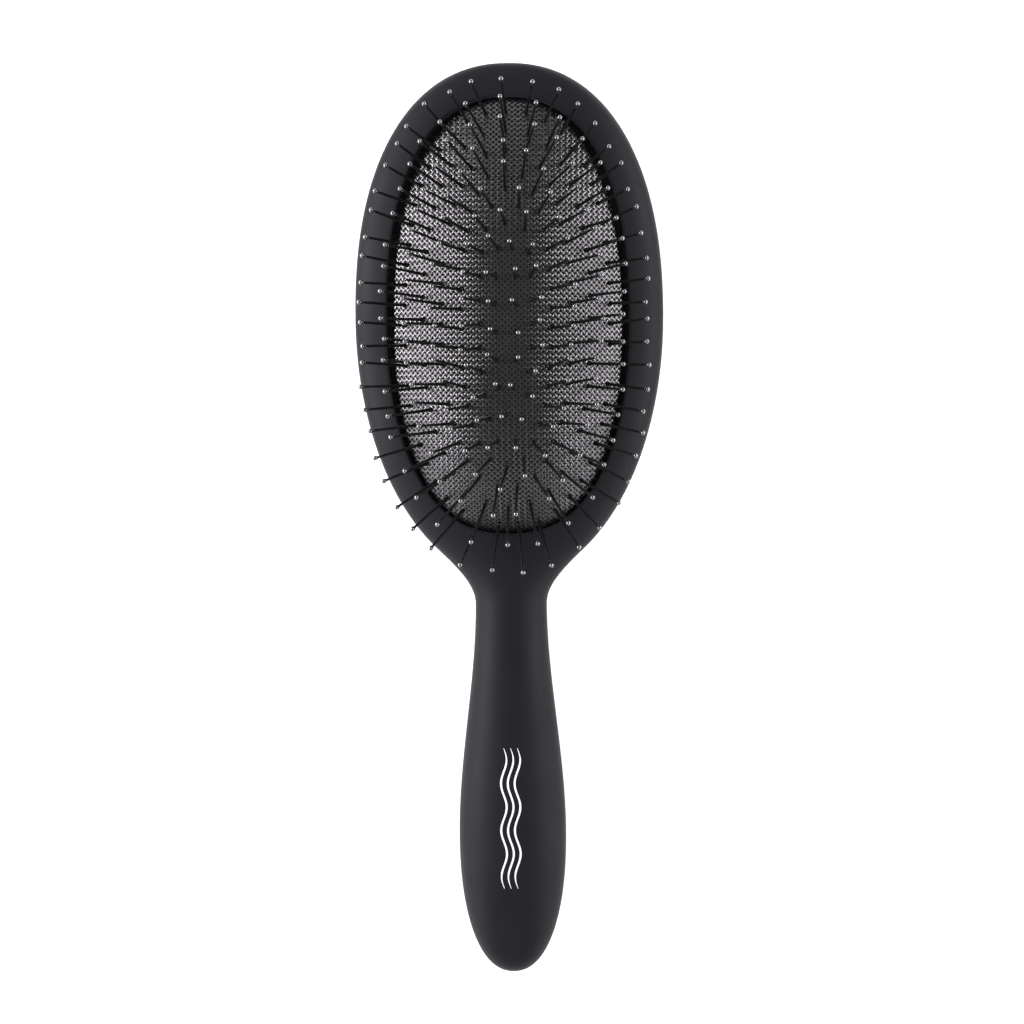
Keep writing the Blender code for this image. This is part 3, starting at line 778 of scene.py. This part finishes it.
def strip_of_pins(name, pins, shank_finish, ball_finish):
    """The pins of one strip and the runner that joins their feet under the rubber."""
    profile = pin_profile()
    verts, faces = [], []
    for foot, direction in pins:
        first = len(verts)
        for radius, height in profile:
            verts += ring_of_points(foot + direction * height, direction, radius)
        faces += shifted(grid_faces(len(profile), PIN_SIDES, True), first)
        faces += shifted([range(PIN_SIDES)], first)
    feet = [foot - direction * RUNNER_DEPTH for foot, direction in pins]
    ends = [feet[0] + (feet[0] - feet[1]) * 0.2, *feet, feet[-1] + (feet[-1] - feet[-2]) * 0.2]
    first = len(verts)
    for number, place in enumerate(ends):
        along = (ends[min(number + 1, len(ends) - 1)] - ends[max(number - 1, 0)]).normalized()
        verts += ring_of_points(place, along, RUNNER_RADIUS)
    faces += shifted(grid_faces(len(ends), PIN_SIDES, True), first)
    for start in (first, first + (len(ends) - 1) * PIN_SIDES):
        faces += shifted([range(PIN_SIDES)], start)
    strip = add_mesh(name + "_round", [tuple(vert) for vert in verts], faces, shank_finish)
    strip.data.materials.append(ball_finish)
    ball_height = PIN_LENGTH - 1.3 * BALL_LENGTH
    for face in strip.data.polygons:
        away = [(face.center - foot).dot(direction) > ball_height for foot, direction in pins]
        near = [(face.center - foot).cross(direction).length < 2 * BALL_RADIUS for foot, direction in pins]
        face.material_index = int(any(far and close for far, close in zip(away, near)))
    tidy_mesh(strip)
    strip.data.set_sharp_from_angle(angle=math.radians(60))
    return settle(strip, CUSHION, "pin_nylon", name)


def pin_strips(shank_finish, ball_finish, rings):
    """Every ring's strips, named by the ring's letter and their number along it."""
    for ring, pins in enumerate(rings):
        letter = chr(ord("a") + ring)
        count = round(len(pins) / PINS_ON_STRIP)
        for number, group in enumerate(np.array_split(np.arange(len(pins)), count), start=1):
            name = f"pin_strip_{letter}{number:02d}"
            strip_of_pins(name, [pins[place] for place in group], shank_finish, ball_finish)


# Ornament on the handle

def ornament(finish):
    """Three printed wavy lines, like strands of hair, along the handle."""
    section = ((-1, STRAND_LIFT), (1, STRAND_LIFT), (1, -STRAND_DEPTH), (-1, -STRAND_DEPTH))
    corners = len(section)
    verts, faces = [], []
    for strand in range(STRANDS):
        offset = (strand - (STRANDS - 1) / 2) * STRAND_SPACING
        first = len(verts)
        for sample in range(STRAND_SAMPLES + 1):
            share = sample / STRAND_SAMPLES
            y = ORNAMENT_TOP_Y - ORNAMENT_LENGTH * share
            x = offset + STRAND_SWING * math.sin(math.tau * STRAND_WAVES * share)
            taper = STRAND_HALF_WIDTH * min(1.0, 0.25 + 6 * min(share, 1 - share))
            for side, level in section:
                place = x + side * taper
                verts.append((place, y, front_height(place, y) + level))
        faces += shifted(grid_faces(STRAND_SAMPLES + 1, corners, True), first)
        faces += shifted([range(corners)], first)
        faces += shifted([range(corners)], first + corners * STRAND_SAMPLES)
    lines = add_mesh("handle_ornament", verts, faces, finish)
    tidy_mesh(lines)
    lines.data.set_sharp_from_angle(angle=math.radians(40))
    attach(lines, BODY)
    return lines


# Studio

def softbox(name, place, width, height, power):
    lamp = bpy.data.lights.new(name, "AREA")
    lamp.shape = "RECTANGLE"
    lamp.size, lamp.size_y = width, height
    lamp.energy = power
    lamp.color = LIGHT_COLOUR
    obj = bpy.data.objects.new(name, lamp)
    bpy.context.scene.collection.objects.link(obj)
    direction = Vector(LIGHT_TARGET) - Vector(place)
    turn = direction.to_track_quat("-Z", "Y").to_matrix().to_4x4()
    obj.matrix_world = Matrix.Translation(place) @ turn


def white_room():
    """Pale floor under the brush and an even white world."""
    reach = FLOOR_HALF_WIDTH
    corners = [(x * reach, y * reach, FLOOR_Z) for x, y in ((-1, -1), (1, -1), (1, 1), (-1, 1))]
    add_mesh("floor", corners, [(0, 1, 2, 3)], pale_floor())
    world = bpy.data.worlds.new("studio")
    world.use_nodes = True
    background = world.node_tree.nodes["Background"]
    background.inputs["Color"].default_value = (1.0, 1.0, 1.0, 1.0)
    background.inputs["Strength"].default_value = WORLD_STRENGTH
    bpy.context.scene.world = world


def camera():
    """Looks almost straight down on the brush, with the head's end at the picture's top."""
    lens = bpy.data.cameras.new("camera")
    lens.angle = 2 * math.atan(VIEW_WIDTH / 2 / VIEW_DISTANCE)
    lens.clip_start = 0.01
    obj = bpy.data.objects.new("camera", lens)
    bpy.context.scene.collection.objects.link(obj)
    forward = -Vector(CAMERA_OFFSET).normalized()
    right = forward.cross(Vector((0.0, 1.0, 0.0))).normalized()
    up = right.cross(forward)
    turn = Matrix((right, up, -forward)).transposed().to_4x4()
    place = Matrix.Translation(Vector(CAMERA_TARGET) + Vector(CAMERA_OFFSET))
    obj.matrix_world = place @ turn @ Matrix.Rotation(math.radians(CAMERA_ROLL), 4, "Z")
    bpy.context.scene.camera = obj


def studio():
    settings = bpy.context.scene.view_settings
    settings.view_transform = "Standard"
    settings.look = "None"
    white_room()
    for name, (place, width, height, power) in LIGHTS.items():
        softbox(name, place, width, height, power)
    camera()


def main():
    rings = pin_rings()
    paint, rubber, nylon, plastic = soft_touch(), cushion_rubber(), pin_nylon(), inner_plastic()
    front_shell(paint)
    back_shell(paint)
    cushion_rubber_dome(rubber)
    cover = woven_cover(net_thread(), rings)
    pin_strips(nylon, pin_ball(), rings)
    ornament(print_ink())
    for name, finish in (("cushion_skirt", rubber), ("retaining_ring", plastic), ("base_plate", plastic)):
        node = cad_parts[name]
        node.data.materials.clear()
        node.data.materials.append(finish)
    studio()


main()
